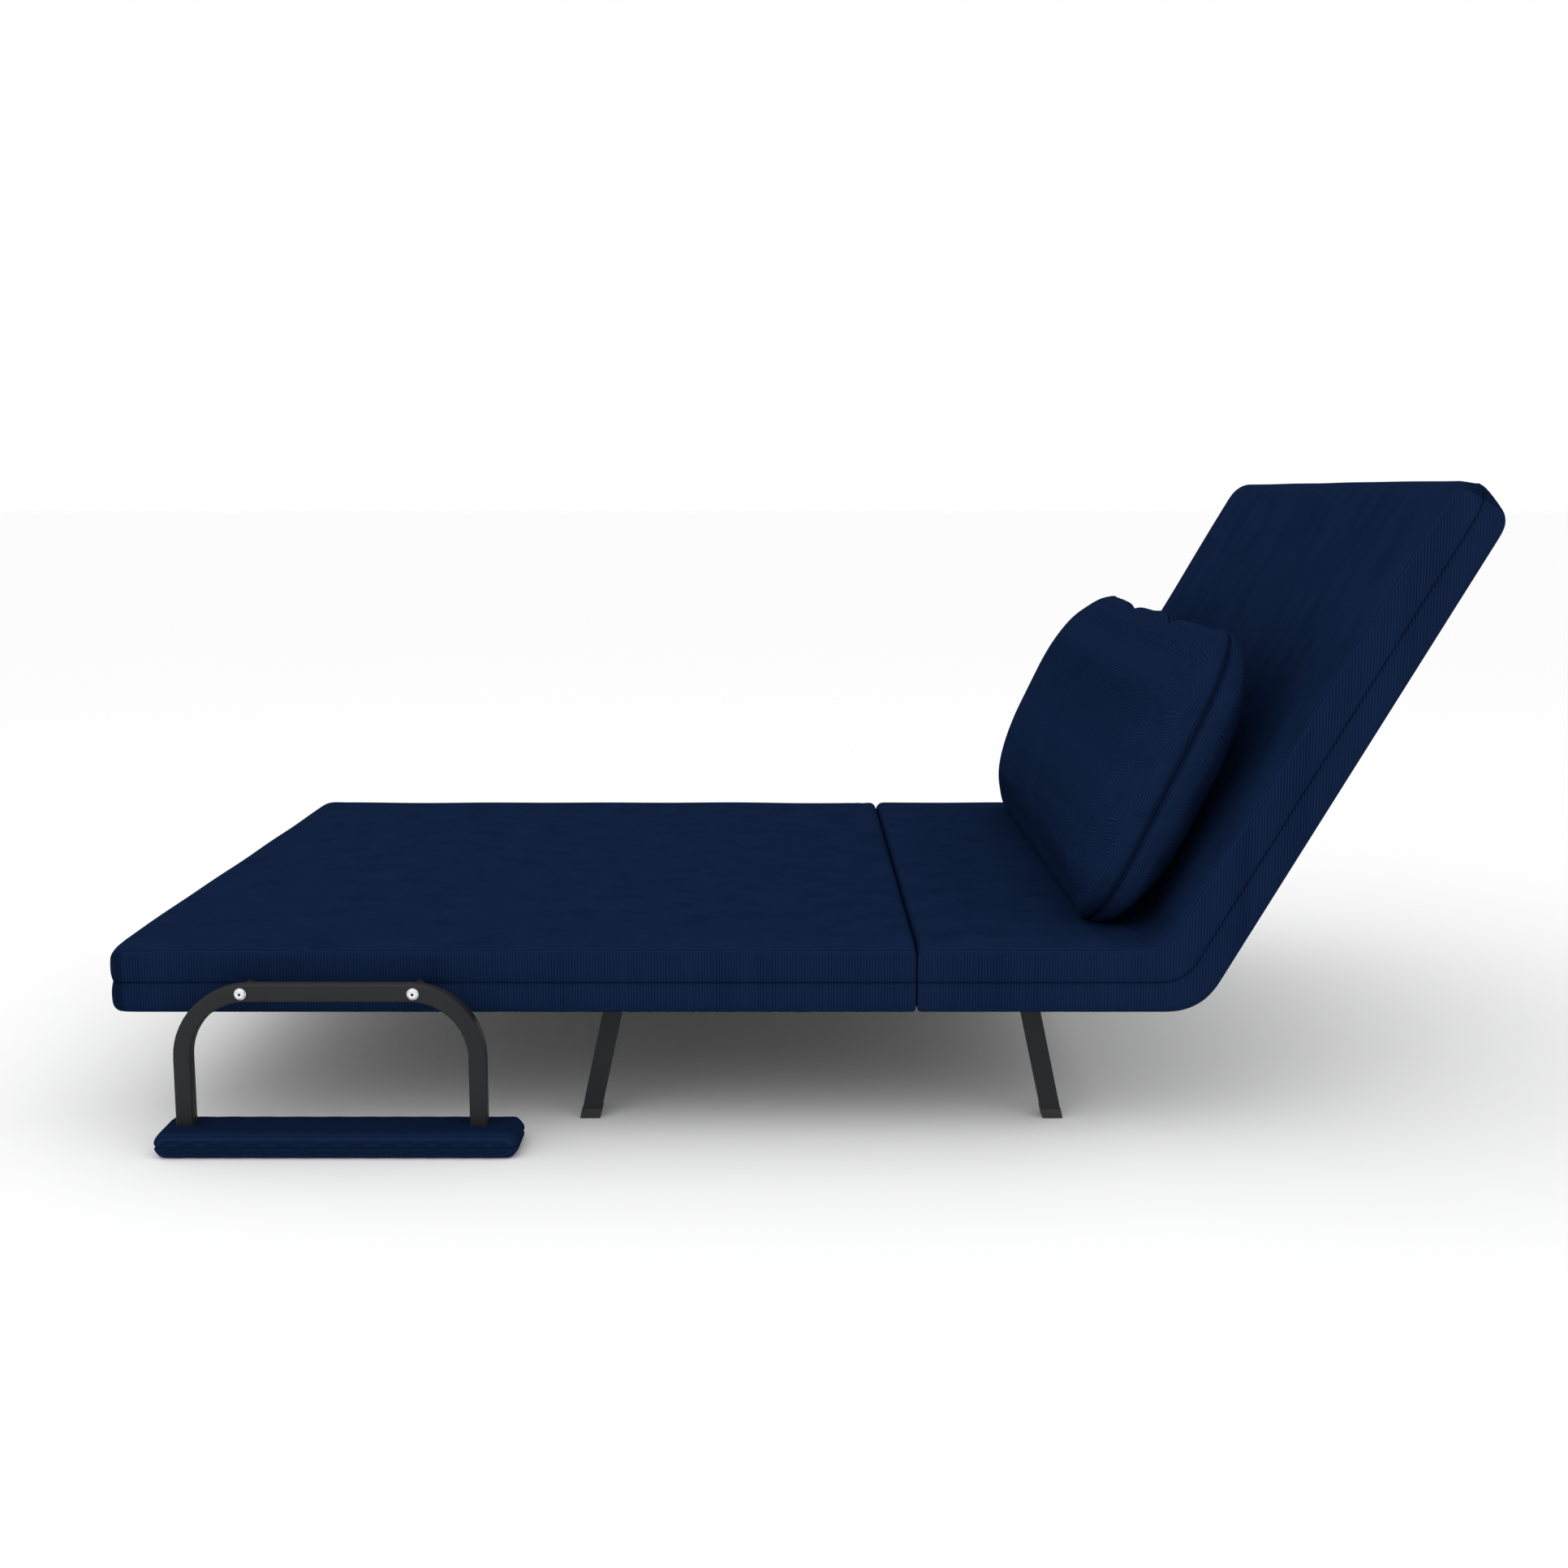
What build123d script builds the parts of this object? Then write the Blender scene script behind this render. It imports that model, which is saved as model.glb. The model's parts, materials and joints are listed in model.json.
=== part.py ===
"""Folding futon sofa bed: three hinged steel sections under one long padded mattress.

The foot section flips half a turn onto the seat to make the sofa, and its two arm loops
then stand up as armrests.  Folded out, the padded arm bars are the feet of the foot end.
Millimetres.  X runs from the foot end to the back, Y across the bed, Z up.
The origin is on the floor, midway between the legs across the bed.
"""
import os
from math import cos, radians, sin, tan

from build123d import *

# ---- mattress and sections ----
bed_width = 1073.0
mattress_thickness = 85.0
crown = 8.0                    # how far the filling stands above the solid's flat top
under_height = 153.0           # floor to the mattress's underside
foot_end_x = -818.0
fold_x = -240.0                # line that the foot section flips about
crease_x = 144.0               # where the two mattress pads meet on the seat
back_pivot_x = 469.0
back_pivot_up = 27.0           # back pivot above the mattress's underside
back_length = 679.0            # pivot to the top edge of the back
back_angle = 60.0              # back above the horizontal as stored
back_angle_max = 75.0          # back at its most upright notch
body_gap = 0.3                 # between soft pieces of different sections
foot_corner_radius = 20.0
foot_edge_radius = 14.0
back_top_radius = 38.0

# ---- steel frames inside the mattress ----
rail_width = 25.0
rail_height = 30.0
rail_wall = 1.5
rail_up = 22.0                 # rail's underside above the mattress's underside
base_rail_inset = 35.0         # mattress side to the seat frame's side rail
fold_end_gap = 10.0            # section end to the nearest cross rail
foot_end_inset = 40.0
back_top_inset = 45.0
weep_radius = 3.0
strap_width = 50.0
strap_thickness = 2.0
foot_strap_count = 5
seat_strap_count = 5
back_strap_count = 5
cloth_thickness = 1.5
pocket_clearance = 1.0

# ---- hinges ----
plate_thickness = 4.0
plate_gap = 0.5
fold_axis_rise = 0.5           # fold axis above the pads' flat tops
fold_eye_radius = 7.0
fold_pin_radius = 2.5
pin_clearance = 0.05
pin_head_radius = 4.5
pin_head_thickness = 1.5
back_eye_radius = 20.0
back_pin_radius = 5.0
back_pin_head_radius = 8.0
back_frame_start = 62.0        # back pivot to the back frame's first cross rail
notch_angles = (75.0, 60.0, 40.0, 20.0, 0.0)
notch_width = 3.0
notch_depth = 3.0
pawl_reach = 20.0              # pawl pivot to the pawl's nose
pawl_width = 7.0
pawl_nose_gap = 0.4
pawl_pin_radius = 2.0
slot_clearance = 4.0

# ---- legs ----
leg_tube = 23.0
leg_wall = 1.5
leg_inset = 70.0               # mattress side to the leg's outer face
leg_lean = 12.2                # degrees out of the vertical
leg_bar_shift = 0.5            # the front legs' bar behind its rail's middle
rear_leg_x = 281.0             # leg centre at the frame's underside
glide_height = 12.0
glide_border = 0.6
leg_bolt_radius = 4.0
leg_bolt_head_radius = 7.0
leg_bolt_head_height = 4.0
leg_plate_thickness = 4.0
leg_plate_length = 70.0

# ---- arm loops and their padded bars ----
loop_tube = 20.0
loop_wall = 1.5
loop_x = -547.0                # middle of the loop
loop_width = 366.0             # outside to outside
loop_corner_radius = 78.0      # on the tube's centre line
loop_gap = 27.0                # mattress side to the loop
loop_bar_up = 37.0             # tube centre above the mattress's underside
pad_length = 424.0
pad_width = 76.0
pad_offset = 4.0               # pad's middle outside the loop's
pad_thickness = 30.0
pad_x = -537.0
pad_edge_radius = 12.0
board_thickness = 11.0
board_border = 9.0
arm_bolt_spacing = 201.0
arm_bolt_radius = 4.0
arm_bolt_head_radius = 6.5
arm_bolt_head_height = 4.5
washer_radius = 7.0
washer_thickness = 1.0
spacer_radius = 6.0
screw_radius = 2.5
screw_head_radius = 5.0
screw_head_height = 2.0

# ---- loose pillow ----
pillow_width = 960.0
pillow_height = 385.0
pillow_thickness = 130.0
pillow_start = 24.5            # along the back from its pivot
pillow_end_radius = 40.0

# ---- places that follow from the sizes ----
half_width = bed_width / 2
top_z = under_height + mattress_thickness - crown
pad_depth = mattress_thickness - crown
rail_z = under_height + rail_up
rail_top_z = rail_z + rail_height
pivot_z = under_height + back_pivot_up
fold_axis_z = top_z + fold_axis_rise
base_rail_y = half_width - base_rail_inset
plate_y = base_rail_y - rail_width
moving_rail_y = base_rail_y - plate_thickness - plate_gap
moving_plate_y = moving_rail_y - rail_width
face_height = pad_depth - back_pivot_up
bend_run = face_height / tan(radians(180 - back_angle_max) / 2)
base_rear_x = back_pivot_x - back_eye_radius - fold_end_gap * 2
strap_top = strap_thickness + pocket_clearance
loop_y = half_width + loop_gap + loop_tube / 2
leg_y = half_width - leg_inset - leg_tube / 2
front_leg_x = fold_x + fold_end_gap + rail_width / 2 + leg_bar_shift
back_plane = Plane(
    origin=(back_pivot_x, 0, pivot_z),
    x_dir=(cos(radians(back_angle)), 0, sin(radians(back_angle))),
    z_dir=(0, -1, 0),
)
back_face = Plane(
    origin=(back_pivot_x, 0, pivot_z),
    x_dir=(cos(radians(back_angle)), 0, sin(radians(back_angle))),
    z_dir=(-sin(radians(back_angle)), 0, cos(radians(back_angle))),
)
side_plane = Plane(origin=(0, 0, 0), x_dir=(1, 0, 0), z_dir=(0, -1, 0))
back_rail_n = rail_up - back_pivot_up


def save(piece, label):
    """Name a finished piece and write its STEP file."""
    piece.part.label = label
    export_step(piece.part, f"parts/{label}.step")


def box_between(low, high, mode=Mode.ADD):
    """Add a box to the open part, given its lowest and highest corners."""
    size = [h - l for l, h in zip(low, high)]
    middle = tuple((h + l) / 2 for l, h in zip(low, high))
    with Locations(middle):
        Box(*size, mode=mode)


def side_profile(points, plane, half, mode=Mode.ADD, centre=0.0):
    """Extrude a closed outline of the side view across the bed, half to each side."""
    with BuildSketch(plane.offset(-centre)) as outline:
        with BuildLine():
            Polyline(*points, close=True)
        make_face()
    extrude(outline.sketch, amount=half, both=True, mode=mode)


def hollow_frame(x_low, x_high, rail_y, z_low, cross_x):
    """Add a welded ring of box tube with cross rails, hollow, with weep holes below."""
    z_high = z_low + rail_height
    box_between((x_low, -rail_y, z_low), (x_high, rail_y, z_high))
    edges = [x_low] + [x + rail_width / 2 for x in cross_x]
    ends = [x - rail_width / 2 for x in cross_x] + [x_high]
    starts = [x_low + rail_width] + edges[1:]
    stops = ends[:-1] + [x_high - rail_width]
    inner_y = rail_y - rail_width
    for start, stop in zip(starts, stops):
        box_between((start, -inner_y, z_low), (stop, inner_y, z_high), mode=Mode.SUBTRACT)
    bore_low = z_low + rail_wall
    bore_high = z_high - rail_wall
    bore_y = rail_y - rail_wall
    for side in (-1, 1):
        y_pair = sorted((side * bore_y, side * (inner_y + rail_wall)))
        box_between(
            (x_low + rail_wall, y_pair[0], bore_low),
            (x_high - rail_wall, y_pair[1], bore_high),
            mode=Mode.SUBTRACT,
        )
    middles = [x_low + rail_width / 2] + list(cross_x) + [x_high - rail_width / 2]
    bore_half = rail_width / 2 - rail_wall
    for middle in middles:
        box_between(
            (middle - bore_half, -bore_y, bore_low),
            (middle + bore_half, bore_y, bore_high),
            mode=Mode.SUBTRACT,
        )
    for side in (-1, 1):
        with Locations((x_low + rail_width / 2, side * (inner_y + rail_width / 2), z_low)):
            Cylinder(weep_radius, rail_wall * 3, mode=Mode.SUBTRACT)


def lay_straps(x_low, x_high, count, half_span, z_low):
    """Add flat webbing straps across a frame, evenly spaced between two cross rails."""
    pitch = (x_high - x_low) / count
    for index in range(count):
        with Locations((x_low + pitch * (index + 0.5), 0, z_low + strap_thickness / 2)):
            Box(strap_width, 2 * half_span, strap_thickness)


def both_sides(y_low, y_high):
    """Give the two spans across the bed, one on each side, of a span given on +Y."""
    return ((-y_high, -y_low), (y_low, y_high))


def plate_profile(plane, eye, eye_radius, corners, y_low, y_high, bore_radius):
    """Add one flat hinge plate on each side: a rounded eye joined to a strap."""
    for low, high in both_sides(y_low, y_high):
        with BuildSketch(plane.offset(-high)) as plate:
            with Locations(eye):
                Circle(eye_radius)
            with BuildLine():
                Polyline(*corners, close=True)
            make_face()
            make_hull()
            with Locations(eye):
                Circle(bore_radius, mode=Mode.SUBTRACT)
        extrude(plate.sketch, amount=high - low)


def across_pin(plane, centre, radius, low, high):
    """Add a round pin across the bed between two Y places."""
    with BuildSketch(plane.offset(-high)) as section:
        with Locations(centre):
            Circle(radius)
    extrude(section.sketch, amount=high - low)


os.makedirs("parts", exist_ok=True)

# ---- foot section: frame, straps, padding, underside cloth ----
foot_frame_low = foot_end_x + foot_end_inset
foot_frame_high = fold_x - fold_end_gap
foot_middle = (foot_frame_low + foot_frame_high) / 2

with BuildPart() as foot_frame:
    hollow_frame(foot_frame_low, foot_frame_high, moving_rail_y, rail_z, [foot_middle])
    for bolt_side in (-1, 1):
        with Locations((loop_x + bolt_side * arm_bolt_spacing / 2, 0, under_height + loop_bar_up)):
            Cylinder(
                arm_bolt_radius + pin_clearance, 2 * moving_rail_y + 2,
                rotation=(90, 0, 0), mode=Mode.SUBTRACT,
            )
save(foot_frame, "foot_frame")

with BuildPart() as foot_straps:
    lay_straps(
        foot_frame_low + rail_width, foot_frame_high - rail_width,
        foot_strap_count, moving_rail_y - 2, rail_top_z,
    )
save(foot_straps, "foot_straps")

foot_pocket_low = foot_frame_low - pocket_clearance
foot_pocket_high = foot_frame_high + pocket_clearance
foot_pocket_y = moving_rail_y + pocket_clearance
pocket_top_z = rail_top_z + strap_top
fold_slot_low = moving_plate_y - plate_thickness - slot_clearance
fold_slot_high = plate_y + slot_clearance
arm_bolt_places = [
    (loop_x + bolt_side * arm_bolt_spacing / 2, under_height + loop_bar_up) for bolt_side in (-1, 1)
]

with BuildPart() as foot_cushion:
    box_between((foot_end_x, -half_width, under_height), (fold_x - body_gap, half_width, top_z))
    foot_uprights = foot_cushion.edges().filter_by(Axis.Z).group_by(Axis.X)[0]
    fillet(foot_uprights, foot_corner_radius)
    fillet(foot_cushion.faces().sort_by(Axis.Z)[-1].edges().group_by(Axis.X)[:-1], foot_edge_radius)
    box_between(
        (foot_pocket_low, -foot_pocket_y, under_height - 1),
        (foot_pocket_high, foot_pocket_y, pocket_top_z),
        mode=Mode.SUBTRACT,
    )
    for low, high in both_sides(fold_slot_low, fold_slot_high):
        box_between(
            (fold_x - fold_end_gap - rail_width - slot_clearance, low, rail_z),
            (fold_x + 1, high, top_z + 1),
            mode=Mode.SUBTRACT,
        )
    for place_x, place_z in arm_bolt_places:
        with Locations((place_x, 0, place_z)):
            Cylinder(spacer_radius + body_gap, bed_width + 2, rotation=(90, 0, 0), mode=Mode.SUBTRACT)
save(foot_cushion, "foot_cushion")

with BuildPart() as foot_underside_cloth:
    box_between(
        (foot_pocket_low + body_gap, -foot_pocket_y + body_gap, under_height),
        (foot_pocket_high - body_gap, foot_pocket_y - body_gap, under_height + cloth_thickness),
    )
save(foot_underside_cloth, "foot_underside_cloth")

# ---- seat section: frame, straps, two pads, underside cloth ----
base_front_x = fold_x + fold_end_gap

leg_bolt_step = leg_plate_length / 2 - leg_bolt_head_radius
leg_bolt_ys = [side * (leg_y + step) for side in (-1, 1) for step in (-leg_bolt_step, leg_bolt_step)]

with BuildPart() as base_frame:
    hollow_frame(base_front_x, base_rear_x, base_rail_y, rail_z, [rear_leg_x])
    with Locations(*[(x, y, rail_z) for x in (front_leg_x, rear_leg_x) for y in leg_bolt_ys]):
        Cylinder(leg_bolt_radius + pin_clearance, rail_wall * 3, mode=Mode.SUBTRACT)
save(base_frame, "base_frame")

with BuildPart() as seat_straps:
    lay_straps(
        base_front_x + rail_width, rear_leg_x - rail_width / 2,
        seat_strap_count, base_rail_y - 2, rail_top_z,
    )
save(seat_straps, "seat_straps")

base_pocket_low = base_front_x - pocket_clearance
base_pocket_high = base_rear_x + pocket_clearance
base_pocket_y = base_rail_y + pocket_clearance
back_slot_low = moving_plate_y - plate_thickness - slot_clearance
back_slot_high = plate_y + plate_thickness + slot_clearance

with BuildPart() as seat_cushion_front:
    box_between((fold_x + body_gap, -half_width, under_height), (crease_x, half_width, top_z))
    for low, high in both_sides(leg_y - leg_tube / 2 - 2, leg_y + leg_tube / 2 + 2):
        box_between(
            (front_leg_x - leg_tube, low, under_height - 1), (base_pocket_low + 1, high, rail_z),
            mode=Mode.SUBTRACT,
        )
    box_between(
        (base_pocket_low, -base_pocket_y, under_height - 1),
        (crease_x + 1, base_pocket_y, pocket_top_z),
        mode=Mode.SUBTRACT,
    )
    for low, high in both_sides(fold_slot_low, fold_slot_high):
        box_between(
            (fold_x - 1, low, rail_z),
            (fold_x + fold_end_gap + rail_width + slot_clearance, high, top_z + 1),
            mode=Mode.SUBTRACT,
        )
save(seat_cushion_front, "seat_cushion_front")

seat_rear_outline = [
    (crease_x, under_height),
    (back_pivot_x - body_gap, under_height),
    (back_pivot_x - body_gap, pivot_z),
    (back_pivot_x - body_gap * 2 - bend_run, top_z),
    (crease_x, top_z),
]

with BuildPart() as seat_cushion_rear:
    side_profile(seat_rear_outline, side_plane, half_width)
    box_between(
        (crease_x - 1, -base_pocket_y, under_height - 1),
        (base_pocket_high, base_pocket_y, pocket_top_z),
        mode=Mode.SUBTRACT,
    )
    for low, high in both_sides(back_slot_low, back_slot_high):
        box_between(
            (base_pocket_high - rail_width, low, under_height - 1),
            (back_pivot_x + 1, high, pivot_z + back_eye_radius + slot_clearance * 2),
            mode=Mode.SUBTRACT,
        )
save(seat_cushion_rear, "seat_cushion_rear")

with BuildPart() as base_underside_cloth:
    box_between(
        (base_pocket_low + body_gap, -base_pocket_y + body_gap, under_height),
        (base_pocket_high - body_gap, base_pocket_y - body_gap, under_height + cloth_thickness),
    )
    for leg_x in (front_leg_x, rear_leg_x):
        with Locations((leg_x, -leg_y, under_height), (leg_x, leg_y, under_height)):
            Box(leg_tube * 2 + 14, leg_tube * 2, cloth_thickness * 4, mode=Mode.SUBTRACT)
save(base_underside_cloth, "base_underside_cloth")

# ---- back section, drawn along the back from its pivot ----
back_low = body_gap
back_rear_n = -back_pivot_up
back_frame_end = back_length - back_top_inset
back_rail_n_top = back_rail_n + rail_height

with BuildPart(back_face) as back_frame:
    hollow_frame(
        back_frame_start, back_frame_end, moving_rail_y, back_rail_n,
        [(back_frame_start + back_frame_end) / 2],
    )
save(back_frame, "back_frame")

with BuildPart(back_face) as back_straps:
    lay_straps(
        back_frame_start + rail_width, back_frame_end - rail_width,
        back_strap_count, moving_rail_y - 2, back_rail_n_top,
    )
save(back_straps, "back_straps")

back_outline = [
    (body_gap, back_rear_n),
    (body_gap, 0),
    (body_gap * 2 + bend_run, face_height),
    (back_length, face_height),
    (back_length, back_rear_n),
]
back_pocket_low = back_frame_start - pocket_clearance
back_pocket_high = back_frame_end + pocket_clearance
back_pocket_y = moving_rail_y + pocket_clearance

with BuildPart(back_face) as back_cushion:
    with BuildSketch(back_plane) as back_side:
        with BuildLine():
            Polyline(*back_outline, close=True)
        make_face()
        fillet(back_side.vertices().group_by(Axis.X)[-1], back_top_radius)
    extrude(amount=half_width, both=True)
    box_between(
        (back_pocket_low, -back_pocket_y, back_rear_n - 1),
        (back_pocket_high, back_pocket_y, back_rail_n_top + strap_top),
        mode=Mode.SUBTRACT,
    )
    for low, high in both_sides(back_slot_low, back_slot_high):
        box_between(
            (-1, low, back_rear_n - 1),
            (back_frame_start + rail_width, high, back_eye_radius + slot_clearance * 2),
            mode=Mode.SUBTRACT,
        )
save(back_cushion, "back_cushion")

with BuildPart(back_face) as back_rear_cloth:
    box_between(
        (back_pocket_low + body_gap, -back_pocket_y + body_gap, back_rear_n),
        (back_pocket_high - body_gap, back_pocket_y - body_gap, back_rear_n + cloth_thickness),
    )
save(back_rear_cloth, "back_rear_cloth")

# ---- fold hinge: a plate on each frame, rising to an eye just under the cover ----
fold_eye = (fold_x, fold_axis_z)
moving_plate_low = moving_plate_y - plate_thickness
base_plate_inner = plate_y - plate_thickness

with BuildPart() as seat_hinge_plates:
    plate_profile(
        side_plane, fold_eye, fold_eye_radius,
        [
            (base_front_x, rail_top_z), (base_front_x + rail_width, rail_top_z),
            (base_front_x + rail_width, rail_top_z + plate_thickness),
        ],
        base_plate_inner, plate_y, fold_pin_radius + pin_clearance,
    )
save(seat_hinge_plates, "seat_hinge_plates")

with BuildPart() as foot_hinge_plates:
    plate_profile(
        side_plane, fold_eye, fold_eye_radius,
        [
            (foot_frame_high, rail_top_z), (foot_frame_high - rail_width, rail_top_z),
            (foot_frame_high - rail_width, rail_top_z + plate_thickness),
        ],
        moving_plate_low, moving_plate_y, fold_pin_radius + pin_clearance,
    )
save(foot_hinge_plates, "foot_hinge_plates")

with BuildPart() as fold_pins:
    for low, high in both_sides(moving_plate_low, plate_y):
        across_pin(
            side_plane, fold_eye, fold_pin_radius,
            low - pin_head_thickness, high + pin_head_thickness,
        )
        across_pin(side_plane, fold_eye, pin_head_radius, low - pin_head_thickness, low)
        across_pin(side_plane, fold_eye, pin_head_radius, high, high + pin_head_thickness)
save(fold_pins, "fold_pins")

# ---- back hinge: notched sector on the back, bracket and pawl on the seat ----
back_eye = (back_pivot_x, pivot_z)
pawl_eye_x = back_pivot_x - back_eye_radius - pawl_nose_gap - pawl_width / 2
pawl_eye_z = pivot_z + pawl_reach
pawl_eye = (pawl_eye_x, pawl_eye_z)
pawl_nose_half = notch_width * 0.4

with BuildPart() as ratchet_brackets:
    plate_profile(
        side_plane, back_eye, back_eye_radius,
        [
            (base_rear_x, rail_z), (base_rear_x, rail_top_z),
            (back_pivot_x, rail_top_z), (back_pivot_x, rail_z),
        ],
        base_plate_inner, plate_y, back_pin_radius + pin_clearance,
    )
    for low, high in both_sides(base_plate_inner, plate_y):
        with BuildSketch(side_plane.offset(-high)):
            with Locations(pawl_eye):
                Circle(pawl_pin_radius + pin_clearance)
        extrude(amount=high - low, mode=Mode.SUBTRACT)
save(ratchet_brackets, "ratchet_brackets")

sector_strap_top = back_rail_n + rail_height * 0.55

with BuildPart() as ratchet_sectors:
    for low, high in both_sides(moving_plate_low, moving_plate_y):
        with BuildSketch(back_plane.offset(-high)):
            Circle(back_eye_radius)
            with BuildLine():
                Polyline(
                    (0, back_rail_n), (back_frame_start, back_rail_n),
                    (back_frame_start, sector_strap_top), (0, sector_strap_top), close=True,
                )
            make_face()
            Circle(back_pin_radius + pin_clearance, mode=Mode.SUBTRACT)
            for notch_angle in notch_angles:
                with Locations(Rotation(0, 0, 180 - notch_angle)):
                    with Locations((back_eye_radius - notch_depth / 2 + 0.5, 0)):
                        Rectangle(notch_depth + 1, notch_width, mode=Mode.SUBTRACT)
        extrude(amount=high - low)
save(ratchet_sectors, "ratchet_sectors")

with BuildPart() as back_hinge_pins:
    for low, high in both_sides(moving_plate_low, plate_y):
        across_pin(
            side_plane, back_eye, back_pin_radius,
            low - pin_head_thickness, high + pin_head_thickness,
        )
        across_pin(side_plane, back_eye, back_pin_head_radius, low - pin_head_thickness, low)
        across_pin(side_plane, back_eye, back_pin_head_radius, high, high + pin_head_thickness)
save(back_hinge_pins, "back_hinge_pins")

pawl_nose_x = back_pivot_x - back_eye_radius - pawl_nose_gap

with BuildPart() as ratchet_pawls:
    plate_profile(
        side_plane, pawl_eye, pawl_width / 2 + 1,
        [
            (pawl_nose_x, pivot_z - pawl_nose_half), (pawl_nose_x, pivot_z + pawl_nose_half),
            (pawl_nose_x - pawl_width * 0.7, pivot_z + pawl_nose_half),
            (pawl_nose_x - pawl_width * 0.5, pivot_z - pawl_nose_half),
        ],
        moving_plate_low, moving_plate_y - plate_gap / 2, pawl_pin_radius + pin_clearance,
    )
save(ratchet_pawls, "ratchet_pawls")

with BuildPart() as pawl_pins:
    for low, high in both_sides(moving_plate_low, plate_y):
        across_pin(
            side_plane, pawl_eye, pawl_pin_radius,
            low - pin_head_thickness, high + pin_head_thickness,
        )
        across_pin(side_plane, pawl_eye, pin_head_radius, low - pin_head_thickness, low)
        across_pin(side_plane, pawl_eye, pin_head_radius, high, high + pin_head_thickness)
save(pawl_pins, "pawl_pins")

# ---- legs: two leaning tubes on a flat bar, bolted up into the seat frame ----
lean_run = tan(radians(leg_lean))
leg_half_run = leg_tube / 2 / cos(radians(leg_lean))
leg_top_z = rail_z - leg_plate_thickness
glide_floor = 3.0


def leg_outline(top_x, lean, low, high, half_run):
    """Outline of one leaning tube between two heights, from the side."""
    low_x = top_x - lean * lean_run * (rail_z - low)
    high_x = top_x - lean * lean_run * (rail_z - high)
    return [
        (low_x - half_run, low), (low_x + half_run, low),
        (high_x + half_run, high), (high_x - half_run, high),
    ]


def leg_pair(top_x, lean):
    """Add two leaning hollow legs joined by a flat bar with bolt holes."""
    wall_run = leg_wall / cos(radians(leg_lean))
    for side in (-1, 1):
        centre = side * leg_y
        outer = leg_outline(top_x, lean, glide_floor, leg_top_z, leg_half_run)
        inner = leg_outline(top_x, lean, 0, leg_top_z - leg_wall, leg_half_run - wall_run)
        side_profile(outer, side_plane, leg_tube / 2, centre=centre)
        side_profile(inner, side_plane, leg_tube / 2 - leg_wall, mode=Mode.SUBTRACT, centre=centre)
    bar_half = leg_y + leg_plate_length / 2
    box_between(
        (top_x - rail_width / 2, -bar_half, leg_top_z), (top_x + rail_width / 2, bar_half, rail_z),
    )
    with Locations(*[(top_x, y, rail_z) for y in leg_bolt_ys]):
        Cylinder(leg_bolt_radius + pin_clearance, leg_plate_thickness * 3, mode=Mode.SUBTRACT)


with BuildPart() as front_legs:
    leg_pair(front_leg_x, 1)
save(front_legs, "front_legs")

with BuildPart() as rear_legs:
    leg_pair(rear_leg_x, -1)
save(rear_legs, "rear_legs")

with BuildPart() as leg_glides:
    for top_x, lean in ((front_leg_x, 1), (rear_leg_x, -1)):
        for side in (-1, 1):
            centre = side * leg_y
            outer = leg_outline(top_x, lean, 0, glide_height, leg_half_run + glide_border)
            inner = leg_outline(top_x, lean, glide_floor, glide_height + 1, leg_half_run)
            side_profile(outer, side_plane, leg_tube / 2 + glide_border, centre=centre)
            side_profile(inner, side_plane, leg_tube / 2, mode=Mode.SUBTRACT, centre=centre)
save(leg_glides, "leg_glides")

with BuildPart() as leg_bolts:
    for top_x in (front_leg_x, rear_leg_x):
        for bolt_y in leg_bolt_ys:
            shank_low = leg_top_z - leg_bolt_head_height
            shank_high = rail_z + rail_wall * 2
            with Locations((top_x, bolt_y, (shank_low + shank_high) / 2)):
                Cylinder(leg_bolt_radius, shank_high - shank_low)
            with Locations((top_x, bolt_y, leg_top_z - leg_bolt_head_height / 2)):
                Cylinder(leg_bolt_head_radius, leg_bolt_head_height)
save(leg_bolts, "leg_bolts")

# ---- arm loops: one bent square tube a side, bolted through spacers to the foot frame ----
loop_side_x = loop_width / 2 - loop_tube / 2
loop_bar_z = under_height + loop_bar_up
board_top_z = pad_thickness - pocket_clearance
loop_path = [
    (loop_x - loop_side_x, board_top_z), (loop_x - loop_side_x, loop_bar_z),
    (loop_x + loop_side_x, loop_bar_z), (loop_x + loop_side_x, board_top_z),
]


def bent_tube(centre, size, mode=Mode.ADD):
    """Add a square bar bent to the loop's path, standing at one place across the bed."""
    with BuildSketch(side_plane.offset(-centre)) as band:
        with BuildLine() as path:
            FilletPolyline(*loop_path, radius=loop_corner_radius)
        trace(path.line, line_width=size)
    extrude(band.sketch, amount=size / 2, both=True, mode=mode)


def arm_loop(centre):
    """Add one hollow loop with its two bolt holes."""
    bent_tube(centre, loop_tube)
    bent_tube(centre, loop_tube - 2 * loop_wall, mode=Mode.SUBTRACT)
    for place_x, place_z in arm_bolt_places:
        with Locations((place_x, centre, place_z)):
            Cylinder(
                arm_bolt_radius + pin_clearance, loop_tube * 2,
                rotation=(90, 0, 0), mode=Mode.SUBTRACT,
            )


with BuildPart() as arm_loop_near:
    arm_loop(-loop_y)
save(arm_loop_near, "arm_loop_near")

with BuildPart() as arm_loop_far:
    arm_loop(loop_y)
save(arm_loop_far, "arm_loop_far")

loop_outer_y = loop_y + loop_tube / 2
loop_inner_y = loop_y - loop_tube / 2
washer_outer_y = loop_outer_y + washer_thickness

with BuildPart() as arm_bolts:
    for place in arm_bolt_places:
        for side in (-1, 1):
            shank = sorted((side * (moving_plate_y + rail_wall / 2), side * washer_outer_y))
            head = sorted((side * washer_outer_y, side * (washer_outer_y + arm_bolt_head_height)))
            across_pin(side_plane, place, arm_bolt_radius, *shank)
            across_pin(side_plane, place, arm_bolt_head_radius, *head)
save(arm_bolts, "arm_bolts")

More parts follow.
